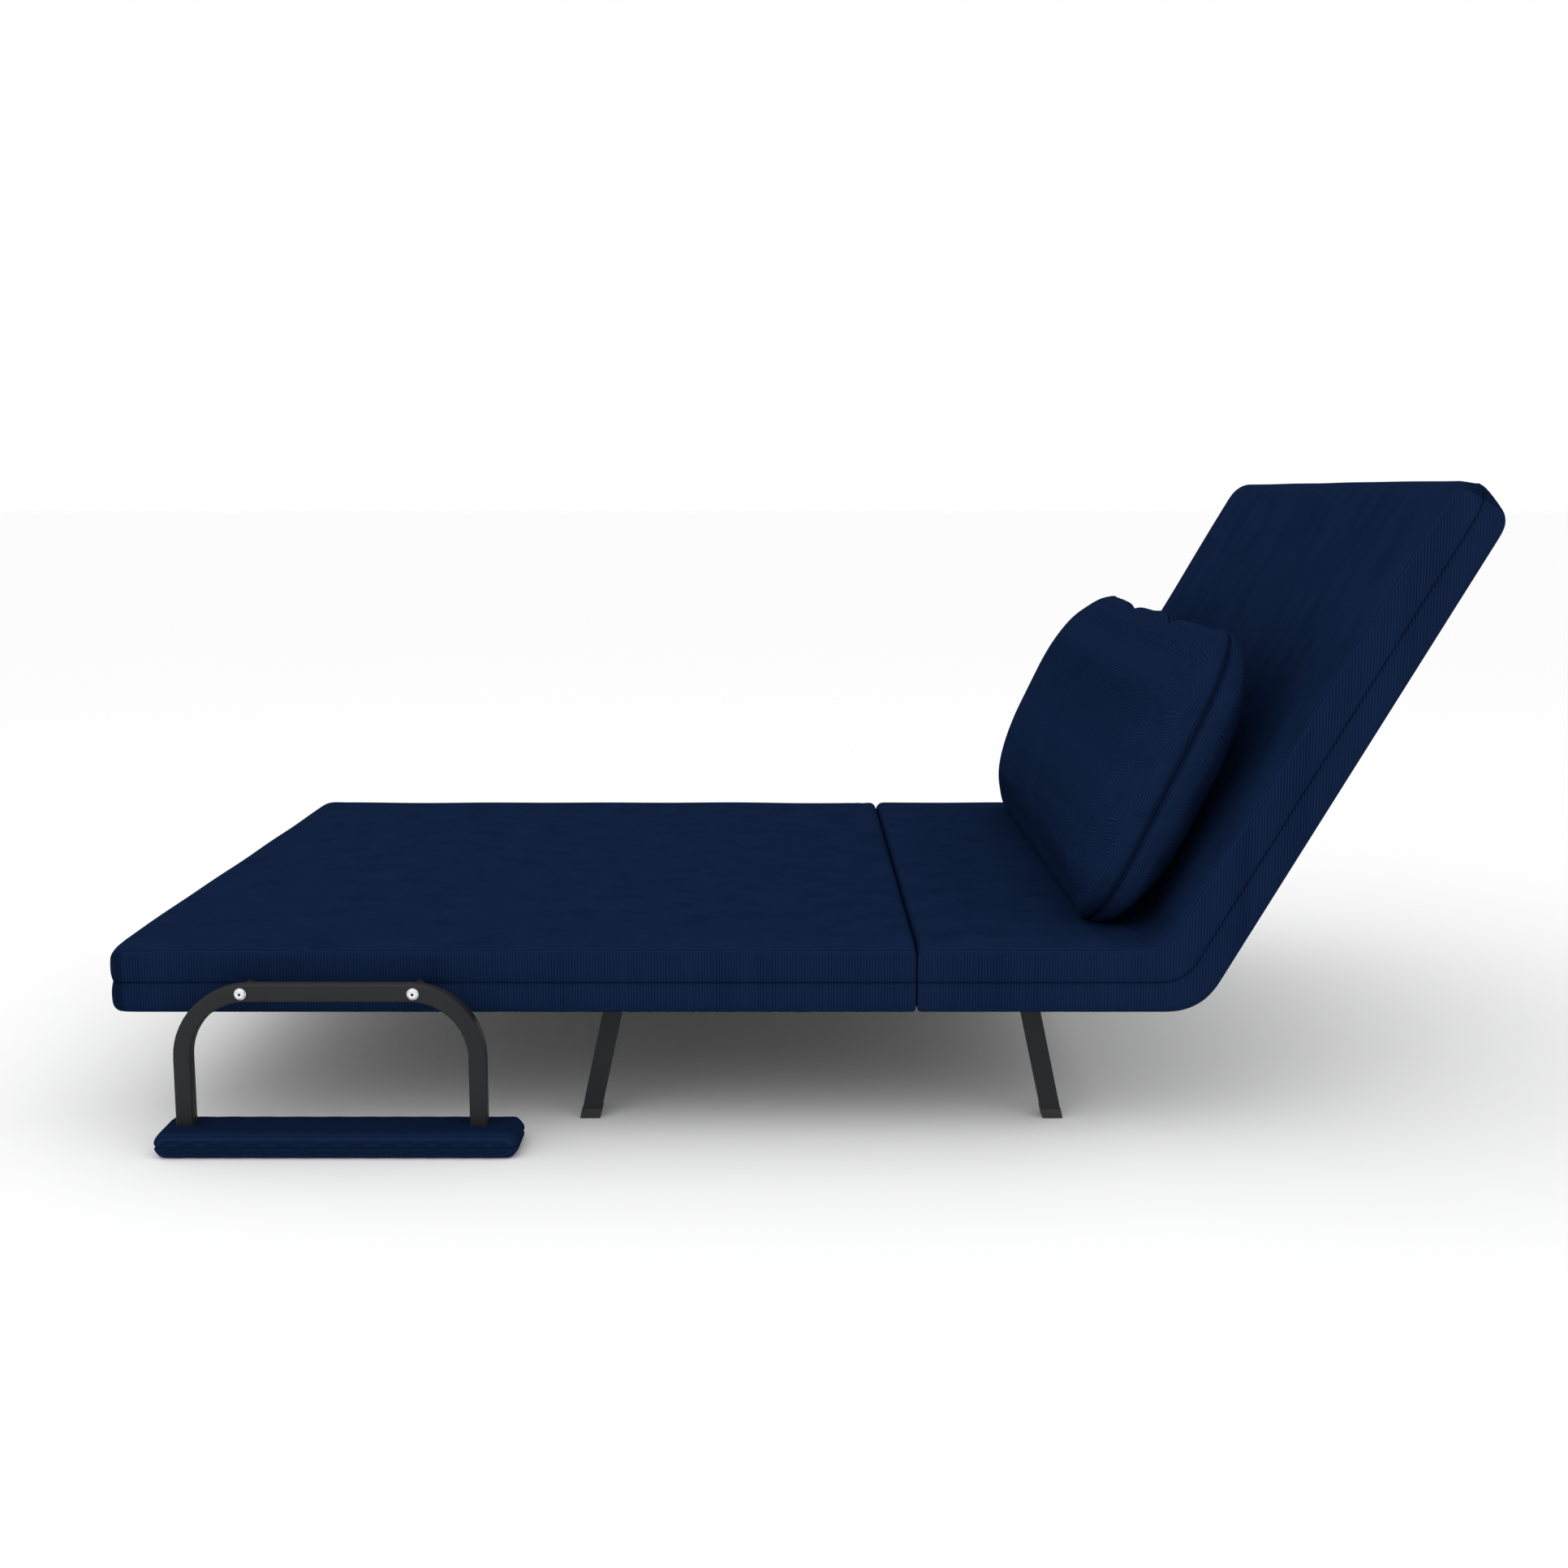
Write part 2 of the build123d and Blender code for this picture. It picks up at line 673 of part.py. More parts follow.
with BuildPart() as arm_washers:
    for place in arm_bolt_places:
        for side in (-1, 1):
            span = sorted((side * loop_outer_y, side * washer_outer_y))
            with BuildSketch(side_plane.offset(-span[1])):
                with Locations(place):
                    Circle(washer_radius)
                    Circle(arm_bolt_radius + pin_clearance, mode=Mode.SUBTRACT)
            extrude(amount=span[1] - span[0])
save(arm_washers, "arm_washers")

with BuildPart() as arm_spacers:
    for place in arm_bolt_places:
        for side in (-1, 1):
            span = sorted((side * moving_rail_y, side * loop_inner_y))
            with BuildSketch(side_plane.offset(-span[1])):
                with Locations(place):
                    Circle(spacer_radius)
                    Circle(arm_bolt_radius + pin_clearance, mode=Mode.SUBTRACT)
            extrude(amount=span[1] - span[0])
save(arm_spacers, "arm_spacers")

# ---- padded arm bars: a board in a padded sleeve, screwed to plugs in the loop's ends ----
pad_y = loop_y + pad_offset
board_low_z = board_top_z - board_thickness
plug_size = loop_tube - 2 * loop_wall
end_places = [
    (loop_x + end * loop_side_x, side * loop_y) for end in (-1, 1) for side in (-1, 1)
]


def arm_pad(centre):
    """Add one padded bar with the recess for its board."""
    with Locations((pad_x, centre, pad_thickness / 2)):
        pad_body = Box(pad_length, pad_width, pad_thickness)
    fillet(pad_body.edges().filter_by(Axis.Z), pad_edge_radius)
    with Locations((pad_x, centre, (board_low_z + pad_thickness + 1) / 2)):
        Box(
            pad_length - 2 * board_border, pad_width - 2 * board_border,
            pad_thickness + 1 - board_low_z, mode=Mode.SUBTRACT,
        )


with BuildPart() as arm_pad_near:
    arm_pad(-pad_y)
save(arm_pad_near, "arm_pad_near")

with BuildPart() as arm_pad_far:
    arm_pad(pad_y)
save(arm_pad_far, "arm_pad_far")

with BuildPart() as arm_boards:
    for side in (-1, 1):
        with Locations((pad_x, side * pad_y, (board_low_z + board_top_z) / 2)):
            Box(pad_length - 2 * board_border, pad_width - 2 * board_border, board_thickness)
    for place_x, place_y in end_places:
        with Locations((place_x, place_y, board_low_z)):
            Cylinder(screw_radius + pin_clearance, board_thickness * 3, mode=Mode.SUBTRACT)
            Cylinder(screw_head_radius + pin_clearance, screw_head_height * 2, mode=Mode.SUBTRACT)
save(arm_boards, "arm_boards")

with BuildPart() as loop_plugs:
    for place_x, place_y in end_places:
        with Locations((place_x, place_y, board_top_z + plug_size / 2)):
            Box(plug_size, plug_size, plug_size)
            Cylinder(screw_radius + pin_clearance, plug_size * 2, mode=Mode.SUBTRACT)
save(loop_plugs, "loop_plugs")

with BuildPart() as board_screws:
    for place_x, place_y in end_places:
        with Locations((place_x, place_y, (board_low_z + board_top_z + plug_size) / 2)):
            Cylinder(screw_radius, board_thickness + plug_size)
        with Locations((place_x, place_y, board_low_z + screw_head_height / 2)):
            Cylinder(screw_head_radius, screw_head_height)
save(board_screws, "board_screws")

# ---- loose pillow, leaning on the back ----
pillow_n = face_height + body_gap + pillow_thickness / 2

with BuildPart(back_face) as pillow:
    with BuildSketch(back_plane):
        with Locations((pillow_start + pillow_height / 2, pillow_n)):
            RectangleRounded(pillow_height, pillow_thickness, pillow_thickness * 0.46)
    extrude(amount=pillow_width / 2, both=True)
    fillet(pillow.faces().filter_by(Axis.Y).edges(), pillow_end_radius)
save(pillow, "pillow")
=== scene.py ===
"""Looks of a folding futon sofa bed: corduroy mattress pads, pillow, steel frames and arm loops.

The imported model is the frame, and every place and size below comes from it.  Metres.
"""
import json
import math

import bmesh
import bpy
import numpy as np
from mathutils import Matrix, Vector


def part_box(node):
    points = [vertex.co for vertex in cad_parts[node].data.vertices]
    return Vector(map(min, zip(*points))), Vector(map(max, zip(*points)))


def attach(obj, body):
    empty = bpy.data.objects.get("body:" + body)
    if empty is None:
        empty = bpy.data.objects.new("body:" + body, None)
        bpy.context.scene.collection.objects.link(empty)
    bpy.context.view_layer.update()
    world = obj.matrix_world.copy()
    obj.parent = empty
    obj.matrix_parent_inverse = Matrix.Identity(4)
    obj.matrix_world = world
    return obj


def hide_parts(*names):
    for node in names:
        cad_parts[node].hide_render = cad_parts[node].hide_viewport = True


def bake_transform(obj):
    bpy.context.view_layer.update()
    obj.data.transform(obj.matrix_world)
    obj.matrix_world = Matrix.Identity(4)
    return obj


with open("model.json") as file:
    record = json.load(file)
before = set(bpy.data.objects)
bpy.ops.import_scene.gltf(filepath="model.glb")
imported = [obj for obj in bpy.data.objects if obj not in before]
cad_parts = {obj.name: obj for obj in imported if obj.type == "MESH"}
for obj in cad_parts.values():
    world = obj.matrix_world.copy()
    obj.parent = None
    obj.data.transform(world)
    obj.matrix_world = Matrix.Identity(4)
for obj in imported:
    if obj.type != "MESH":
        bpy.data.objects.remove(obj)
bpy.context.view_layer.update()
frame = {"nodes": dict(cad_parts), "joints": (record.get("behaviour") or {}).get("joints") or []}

# ---- Steel frames under the covers ----
# Three welded rings of rectangular steel tube, one in each section of the bed.
# They are powder coated black before the webbing and padding go on.


def linear(hex_colour):
    """Turn an sRGB hex colour into the linear RGBA that shaders use."""
    channels = [int(hex_colour[i:i + 2], 16) / 255 for i in (1, 3, 5)]
    return [c / 12.92 if c <= 0.04045 else ((c + 0.055) / 1.055) ** 2.4 for c in channels] + [1.0]


def add_node(material, kind, values=None, links=None, shades=(), **settings):
    """Add a shader node with its settings, socket values, incoming links and ramp shades."""
    node = material.node_tree.nodes.new("ShaderNode" + kind)
    for name, value in settings.items():
        setattr(node, name, value)
    for name, value in (values or {}).items():
        node.inputs[name].default_value = value
    for name, (source, output) in (links or {}).items():
        material.node_tree.links.new(source.outputs[output], node.inputs[name])
    for place, (position, shade) in enumerate(shades):
        node.color_ramp.elements[place].position = position
        node.color_ramp.elements[place].color = linear(shade)
    return node


def new_finish(name, surface):
    """Make a material and set its shader's own sockets."""
    material = bpy.data.materials.new(name)
    material.use_nodes = True
    shader = material.node_tree.nodes["Principled BSDF"]
    for socket, value in surface.items():
        shader.inputs[socket].default_value = value
    return material, shader


def feed(material, shader, **sources):
    """Link node outputs to the shader's sockets."""
    for socket, (node, output) in sources.items():
        material.node_tree.links.new(node.outputs[output], shader.inputs[socket.replace("_", " ")])


def wear(pieces, material):
    """Give pieces one finish."""
    for piece in pieces:
        piece.data.materials.clear()
        piece.data.materials.append(material)


# Powder coat: satin black polyester powder, baked on; a faint orange peel breaks the highlight.
powder_coat, powder_shader = new_finish(
    "black_powder_coat", {"Roughness": 0.5, "IOR": 1.5, "Specular IOR Level": 0.2})
powder_place = add_node(powder_coat, "TexCoord")
powder_peel = add_node(
    powder_coat, "TexNoise", {"Scale": 1 / 0.0016, "Detail": 3.0}, {"Vector": (powder_place, "Object")})
powder_dust = add_node(
    powder_coat, "TexNoise", {"Scale": 1 / 0.12, "Detail": 4.0}, {"Vector": (powder_place, "Object")})
powder_tone = add_node(
    powder_coat, "ValToRGB", links={"Fac": (powder_dust, "Fac")},
    shades=((0.3, "#1c1d1f"), (0.7, "#232427")))
powder_gloss = add_node(
    powder_coat, "MapRange", {"To Min": 0.44, "To Max": 0.56}, {"Value": (powder_dust, "Fac")})
powder_bump = add_node(
    powder_coat, "Bump", {"Strength": 0.25, "Distance": 0.00012}, {"Height": (powder_peel, "Fac")})
feed(powder_coat, powder_shader, Base_Color=(powder_tone, "Color"),
     Roughness=(powder_gloss, "Result"), Normal=(powder_bump, "Normal"))

nodes = frame["nodes"]
wear([nodes[n] for n in ("base_frame", "foot_frame", "back_frame")], powder_coat)

# ---- Webbing that carries the padding ----
# Flat elastic straps, woven from black polypropylene and stretched across each ring.
webbing, webbing_shader = new_finish("black_elastic_webbing", {"Roughness": 0.85})
webbing_place = add_node(webbing, "TexCoord")
webbing_warp = add_node(
    webbing, "TexWave", {"Scale": 0.314 / 0.002, "Distortion": 0.4},
    {"Vector": (webbing_place, "Object")}, bands_direction="X")
webbing_weft = add_node(
    webbing, "TexWave", {"Scale": 0.314 / 0.003, "Distortion": 0.4},
    {"Vector": (webbing_place, "Object")}, bands_direction="Y")
webbing_weave = add_node(
    webbing, "Math", links={0: (webbing_warp, "Fac"), 1: (webbing_weft, "Fac")}, operation="MULTIPLY")
webbing_tone = add_node(
    webbing, "ValToRGB", links={"Fac": (webbing_weave, "Value")},
    shades=((0.1, "#131314"), (0.8, "#2a2a2c")))
webbing_bump = add_node(
    webbing, "Bump", {"Strength": 0.6, "Distance": 0.0004}, {"Height": (webbing_weave, "Value")})
feed(webbing, webbing_shader, Base_Color=(webbing_tone, "Color"), Normal=(webbing_bump, "Normal"))
wear([nodes[n] for n in ("foot_straps", "seat_straps", "back_straps")], webbing)

# ---- Lining that closes the covers below and behind ----
# Thin non-woven black cloth, stapled round the frames; its pressed fibres look slightly mottled.
lining, lining_shader = new_finish("black_nonwoven_lining", {"Roughness": 0.95, "Specular IOR Level": 0.2})
lining_place = add_node(lining, "TexCoord")
lining_dots = add_node(
    lining, "TexVoronoi", {"Scale": 1 / 0.0025, "Randomness": 0.35}, {"Vector": (lining_place, "Object")})
lining_fibres = add_node(
    lining, "TexNoise", {"Scale": 1 / 0.006, "Detail": 5.0}, {"Vector": (lining_place, "Object")})
lining_tone = add_node(
    lining, "ValToRGB", links={"Fac": (lining_fibres, "Fac")},
    shades=((0.3, "#101114"), (0.7, "#1d1f24")))
lining_bump = add_node(
    lining, "Bump", {"Strength": 0.5, "Distance": 0.0003}, {"Height": (lining_dots, "Distance")})
feed(lining, lining_shader, Base_Color=(lining_tone, "Color"), Normal=(lining_bump, "Normal"))
wear([nodes[n] for n in ("foot_underside_cloth", "base_underside_cloth", "back_rear_cloth")],
     lining)

# ---- Fold and ratchet hinges ----
# Pressed steel plates, notched sectors, pawls and riveted pins, all zinc plated.
# Rolled sheet keeps a fine grain, and the plating has pale bluish clouds.
plated, plated_shader = new_finish("zinc_plated_sheet", {"Metallic": 1.0, "Roughness": 0.38})
plated_place = add_node(plated, "TexCoord")
plated_stretch = add_node(
    plated, "Mapping", {"Scale": (1.0, 1.0, 12.0)}, {"Vector": (plated_place, "Object")})
plated_grain = add_node(
    plated, "TexNoise", {"Scale": 1 / 0.004, "Detail": 6.0}, {"Vector": (plated_stretch, "Vector")})
plated_tone = add_node(
    plated, "ValToRGB", links={"Fac": (plated_grain, "Fac")},
    shades=((0.3, "#8a8c90"), (0.7, "#a9abae")))
plated_bump = add_node(
    plated, "Bump", {"Strength": 0.2, "Distance": 0.0001}, {"Height": (plated_grain, "Fac")})
feed(plated, plated_shader, Base_Color=(plated_tone, "Color"), Normal=(plated_bump, "Normal"))
hinge_nodes = [
    "seat_hinge_plates", "foot_hinge_plates", "fold_pins", "ratchet_brackets", "ratchet_sectors",
    "back_hinge_pins", "ratchet_pawls", "pawl_pins",
]
wear([nodes[n] for n in hinge_nodes], plated)

# ---- Legs ----
# Two pairs of leaning square tubes on flat bars, bolted up into the seat frame.
# Black plastic caps are pushed over their cut ends as glides.
wear([nodes[n] for n in ("front_legs", "rear_legs")], powder_coat)

# Moulded polypropylene: fine spark texture, a little shinier than the powder coat.
plastic, plastic_shader = new_finish("moulded_black_plastic", {"Roughness": 0.5, "IOR": 1.49})
plastic_place = add_node(plastic, "TexCoord")
plastic_spark = add_node(
    plastic, "TexNoise", {"Scale": 1 / 0.0008, "Detail": 2.0}, {"Vector": (plastic_place, "Object")})
plastic_tone = add_node(
    plastic, "ValToRGB", links={"Fac": (plastic_spark, "Fac")},
    shades=((0.3, "#1c1c1d"), (0.7, "#252527")))
plastic_bump = add_node(
    plastic, "Bump", {"Strength": 0.3, "Distance": 0.0001}, {"Height": (plastic_spark, "Fac")})
feed(plastic, plastic_shader, Base_Color=(plastic_tone, "Color"), Normal=(plastic_bump, "Normal"))
wear([nodes[n] for n in ("leg_glides", "loop_plugs", "arm_spacers")], plastic)

# Bright zinc: smooth barrel plating on bolts, with soft turning marks.
bright_zinc, zinc_shader = new_finish("bright_zinc_bolt", {"Metallic": 1.0, "Roughness": 0.24})
zinc_place = add_node(bright_zinc, "TexCoord")
zinc_cloud = add_node(
    bright_zinc, "TexNoise", {"Scale": 1 / 0.003, "Detail": 4.0}, {"Vector": (zinc_place, "Object")})
zinc_tone = add_node(
    bright_zinc, "ValToRGB", links={"Fac": (zinc_cloud, "Fac")},
    shades=((0.3, "#d2d3d5"), (0.7, "#f0f0f0")))
zinc_gloss = add_node(
    bright_zinc, "MapRange", {"To Min": 0.18, "To Max": 0.34}, {"Value": (zinc_cloud, "Fac")})
feed(bright_zinc, zinc_shader, Base_Color=(zinc_tone, "Color"), Roughness=(zinc_gloss, "Result"))
wear([nodes[n] for n in ("leg_bolts", "board_screws", "arm_washers")], bright_zinc)

# ---- Mattress: one long corduroy cover over two padded halves ----
# The front half crosses the fold hinge, and the rear half bends up into the back.
# Each has a top and bottom panel with side panels seamed round the middle of the edge.
rib_pitch = 0.0035
crown = 0.008
side_seam_up = 0.038
seam_pinch = 0.0015
seam_half_width = 0.002
crease_gap = 0.0004
crease_run = 0.006
crease_depth = 0.0065
crease_inset = 0.0028
seam_pinch_reach = 0.004

# Corduroy: cut-pile ribs; the valleys are painted darker than the crests, partly the cloth's own rib pattern
# and partly painted shade in the grooves, and the dense pile swallows highlights.
corduroy, corduroy_shader = new_finish(
    "navy_corduroy_cloth",
    {"Roughness": 0.95, "Specular IOR Level": 0.0, "Sheen Weight": 0.0})
weave = add_node(corduroy, "Attribute", attribute_name="weave")
weave_axes = add_node(corduroy, "SeparateXYZ", links={"Vector": (weave, "Vector")})
side_ribs = add_node(
    corduroy, "TexWave", {"Scale": 0.314159 / rib_pitch, "Distortion": 0.0},
    {"Vector": (weave, "Vector")}, bands_direction="X")
face_ribs = add_node(
    corduroy, "TexWave", {"Scale": 0.314159 / rib_pitch, "Distortion": 0.0},
    {"Vector": (weave, "Vector")}, bands_direction="Y")
face_share = add_node(
    corduroy, "Math", {0: 1.0}, {1: (weave_axes, "Z")}, operation="SUBTRACT", use_clamp=True)
face_part = add_node(
    corduroy, "Math", links={0: (face_ribs, "Fac"), 1: (face_share, "Value")}, operation="MULTIPLY")
ribs = add_node(
    corduroy, "Math", links={0: (side_ribs, "Fac"), 1: (weave_axes, "Z"), 2: (face_part, "Value")},
    operation="MULTIPLY_ADD")
nap = add_node(
    corduroy, "TexNoise", {"Scale": 1 / 0.05, "Detail": 8.0, "Roughness": 0.6},
    {"Vector": (weave, "Vector")})
pile = add_node(
    corduroy, "TexNoise", {"Scale": 1 / 0.0009, "Detail": 2.0}, {"Vector": (weave, "Vector")})
# Rib tone plus random nap: the rib part paints the valleys darker, partly rib pattern and partly painted
# shade in the grooves.
shade = add_node(
    corduroy, "Math", {1: 0.6}, {0: (ribs, "Value"), 2: (nap, "Fac")}, operation="MULTIPLY_ADD")
cloth_tone = add_node(
    corduroy, "ValToRGB", links={"Fac": (shade, "Value")},
    shades=((0.25, "#0a142a"), (1.35, "#142441")))
pile_height = add_node(
    corduroy, "Math", {1: 0.25}, {0: (pile, "Fac"), 2: (ribs, "Value")}, operation="MULTIPLY_ADD")
cloth_bump = add_node(
    corduroy, "Bump", {"Strength": 0.7, "Distance": 0.0005}, {"Height": (pile_height, "Value")})
# Painted shade: along the seam lines the cloth's colour is scaled down to 40 percent, standing in for the
# shade in the seam's pinch.
seam_shade_mask = add_node(corduroy, "Attribute", attribute_name="seam")
seam_shade_factor = add_node(
    corduroy, "Math", {1: -0.6, 2: 1.0}, {0: (seam_shade_mask, "Fac")}, operation="MULTIPLY_ADD")
seam_shaded_tone = add_node(
    corduroy, "VectorMath", links={"Vector": (cloth_tone, "Color"), "Scale": (seam_shade_factor, "Value")},
    operation="SCALE")
feed(corduroy, corduroy_shader, Base_Color=(seam_shaded_tone, "Vector"), Normal=(cloth_bump, "Normal"))


def soft_block(name, cuts):
    """Make a block of side 2 with each axis cut into even steps, ready to be shaped."""
    form = bmesh.new()
    bmesh.ops.create_cube(form, size=2.0)
    for axis, count in enumerate(cuts):
        along = [
            e for e in form.edges
            if abs(e.verts[0].co[axis] - e.verts[1].co[axis]) > 1e-4
        ]
        bmesh.ops.subdivide_edges(form, edges=along, cuts=count, use_grid_fill=True)
    bmesh.ops.recalc_face_normals(form, faces=form.faces)
    mesh = bpy.data.meshes.new(name)
    form.to_mesh(mesh)
    form.free()
    piece = bpy.data.objects.new(name, mesh)
    bpy.context.scene.collection.objects.link(piece)
    return piece


def places(piece):
    """Read a piece's points as an array."""
    points = np.zeros(len(piece.data.vertices) * 3)
    piece.data.vertices.foreach_get("co", points)
    return points.reshape(-1, 3)


def put(piece, points):
    """Write a piece's points back."""
    piece.data.vertices.foreach_set("co", points.ravel())
    piece.data.update()


def crowd(share, amount):
    """Move even steps from -1 to 1 closer together towards both ends."""
    return np.sin(share * amount * math.pi / 2) / math.sin(amount * math.pi / 2)


def quarter(share):
    """Drop of a quarter ellipse, 1 at the rim and 0 inside."""
    return 1 - np.sqrt(np.clip(1 - (1 - np.clip(share, 0, 1)) ** 2, 0, 1))


def dome(share):
    """A smooth bump, 1 where share is 0 and 0 from 1 outwards."""
    return (1 - np.clip(np.abs(share), 0, 1) ** 2) ** 2


def smooth_piece(piece, levels=1):
    """Shade a soft piece smoothly and round it by subdivision."""
    piece.data.polygons.foreach_set("use_smooth", [True] * len(piece.data.polygons))
    rounder = piece.modifiers.new("rounded", "SUBSURF")
    rounder.levels = levels
    rounder.render_levels = levels


def set_weave(piece, side_run, face_run, side_share, seam):
    """Store where the ribs run, how far each point is side panel, and where the seam lies; the cloth is
    painted darker there as shade in the seam's pinch.
    """
    values = np.stack([side_run, face_run, side_share], axis=1).astype(np.float32)
    layer = piece.data.attributes.new("weave", "FLOAT_VECTOR", "POINT")
    layer.data.foreach_set("vector", values.ravel())
    line = piece.data.attributes.new("seam", "FLOAT", "POINT")
    line.data.foreach_set("value", seam.astype(np.float32))


def shape_pad(block, length, width, low, high, seam_up, rims, rounded_ends, step_crowd):
    """Shape a block into a boxed pad: rounded in plan, domed at its rims, pinched at its seam.

    The pad runs from 0 to its length, and its round ends are marked at the start and the end.
    Rims give the width and drop at the top and bottom, for its sides and for its round ends,
    how far each panel bulges, and the reach and squareness of its corners in plan.
    """
    share = places(block)
    corner = rims["corner"]
    square = rims["squareness"]
    level_count = 10
    seam_share = (seam_up - rims["side_bottom"][1]) / (
        high - low - rims["side_top"][1] - rims["side_bottom"][1])
    seam_step = 4
    levels = np.interp(
        np.arange(level_count + 1),
        [0, seam_step - 1, seam_step, seam_step + 1, level_count],
        [0, seam_share - seam_half_width / (high - low), seam_share,
         seam_share + seam_half_width / (high - low), 1])
    row = np.rint((share[:, 2] + 1) / 2 * level_count).astype(int)
    level = levels[row]
    along = (crowd(share[:, 0], step_crowd) + 1) / 2 * length
    across = crowd(share[:, 1], 0.8) * width / 2
    on_top = share[:, 2] > 0.999
    on_bottom = share[:, 2] < -0.999
    wall = ~on_top & ~on_bottom

    start_over = np.clip(corner - along, 0, None) if rounded_ends[0] else 0 * along
    end_over = np.clip(along - (length - corner), 0, None) if rounded_ends[1] else 0 * along
    end_side = np.where(end_over > 0, 1.0, -1.0)
    over_x = np.maximum(start_over, end_over)
    over_y = np.clip(np.abs(across) - (width / 2 - corner), 0, None)
    reach = (over_x ** square + over_y ** square) ** (1 / square)
    straight_reach = np.hypot(over_x, over_y)
    most = np.maximum(over_x, over_y)
    squeeze = np.where(reach > 1e-9, most / np.maximum(reach, 1e-9), 1.0)
    endness = np.where(
        straight_reach > 1e-9, (over_x / np.maximum(straight_reach, 1e-9)) ** 2, 0.0)
    out_x = over_x * squeeze
    out_y = over_y * squeeze
    inset = corner - most

    rim = {
        key: np.outer(1 - endness, rims["side_" + key]) + np.outer(endness, rims["end_" + key])
        for key in ("top", "bottom")
    }
    top_drop = rim["top"][:, 1] * quarter(inset / rim["top"][:, 0])
    bottom_drop = rim["bottom"][:, 1] * quarter(inset / rim["bottom"][:, 0])
    height = np.where(on_top, high - top_drop, low + bottom_drop)
    wall_low = low + rim["bottom"][:, 1]
    wall_high = high - rim["top"][:, 1]
    height = np.where(wall, wall_low + (wall_high - wall_low) * level, height)

    at_rim = most > corner - 1e-6
    lobe = np.where(
        level < seam_share, np.sin(np.pi * level / seam_share),
        np.sin(np.pi * (level - seam_share) / (1 - seam_share)))
    bulge = np.where(wall & at_rim, rims["bulge"] * np.clip(lobe, 0, 1), 0.0)
    from_seam = (level - seam_share) * (high - low)
    bulge -= np.where(wall & at_rim, seam_pinch * dome(from_seam / seam_pinch_reach), 0)
    if not rounded_ends[1]:
        from_crease = length - along
        dent = quarter(from_crease / crease_run)
        height -= np.where(on_top, crease_depth * dent, 0)
        bulge -= np.where(wall & (level > seam_share), crease_inset * dent, 0)
    if not rounded_ends[0]:
        dent = quarter(along / crease_run)
        height -= np.where(on_top, crease_depth * dent, 0)
        bulge -= np.where(wall & (level > seam_share), crease_inset * dent, 0)
    grow = 1 + bulge / corner
    middle_x = np.where(end_side > 0, along - over_x, along + over_x)
    sign_y = np.sign(across)
    new_along = middle_x + end_side * out_x * np.where(at_rim, grow, 1)
    new_across = sign_y * (np.abs(across) - over_y + out_y * np.where(at_rim, grow, 1))
    put(block, np.stack([new_along, new_across, height], axis=1))
    panel = np.clip((wall & at_rim) * 1.0 + (on_top | on_bottom) * np.clip(1 - inset / 0.004, 0, 1), 0, 1)
    return {"inset": inset, "on_top": on_top, "on_bottom": on_bottom, "panel": panel,
            "seam": wall & at_rim & (row == seam_step)}


def extent(node, direction):
    """How far a CAD node reaches along a direction, from the back's pivot."""
    points = places(nodes[node]) - np.array(pivot)
    reach = points @ np.array(direction)
    return reach.min(), reach.max()


joints = {j["name"]: j for j in frame["joints"]}
pivot = Vector(joints["back_recline"]["pos_m"])
up_back = Vector(joints["pillow_lift"]["axis"])
out_of_back = Vector((-up_back.z, 0, up_back.x))
back_rise = math.atan2(up_back.z, up_back.x)

foot_low, foot_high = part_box("foot_cushion")
crease_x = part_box("seat_cushion_front")[1].x
pad_low = foot_low.z
pad_high = foot_high.z + crown
bed_width = foot_high.y - foot_low.y
lining_lift = 0.0025
lining_border = 0.012

mattress_rims = {
    "side_top": (0.044, 0.013), "end_top": (0.024, 0.015),
    "side_bottom": (0.007, 0.006), "end_bottom": (0.009, 0.007), "bulge": 0.001,
    "corner": 0.045, "squareness": 7.0,
}


def rumple(points):
    """Slow unevenness of stuffed padding, about a millimetre high."""
    x, y = points[:, 0], points[:, 1]
    waves = [(11.0, 7.0, 0.3), (-17.0, 9.0, 1.7), (5.0, -23.0, 2.9), (29.0, 13.0, 4.1)]
    return sum(np.sin(a * x + b * y + c) for a, b, c in waves) * 0.0003


def fold_mark(points, start, end, width, depth):
    """A shallow groove with soft lips along a line across the top, fading at both ends."""
    begin = np.array(start)
    run = np.array(end) - begin
    length = np.hypot(*run)
    offset = points[:, :2] - begin
    down = (offset @ run) / length ** 2
    sideways = (offset[:, 0] * run[1] - offset[:, 1] * run[0]) / length
    fade = np.clip(4 * down * (1 - down), 0, 1)
    lips = np.exp(-((np.abs(sideways) - width) / width) ** 2) * 0.5
    return depth * fade * (lips - np.exp(-(sideways / (width * 0.6)) ** 2))


def recess_for_lining(points, facts, node_low, node_high):
    """Lift the bottom panel where the lining lies, so that the lining shows flush."""
    inside_x = np.minimum(points[:, 0] - node_low[0], node_high[0] - points[:, 0])
    inside_y = node_high[1] - np.abs(points[:, 1])
    inside = np.clip((np.minimum(inside_x, inside_y) + lining_border) / lining_border, 0, 1)
    return np.where(facts["on_bottom"], lining_lift * inside, 0)


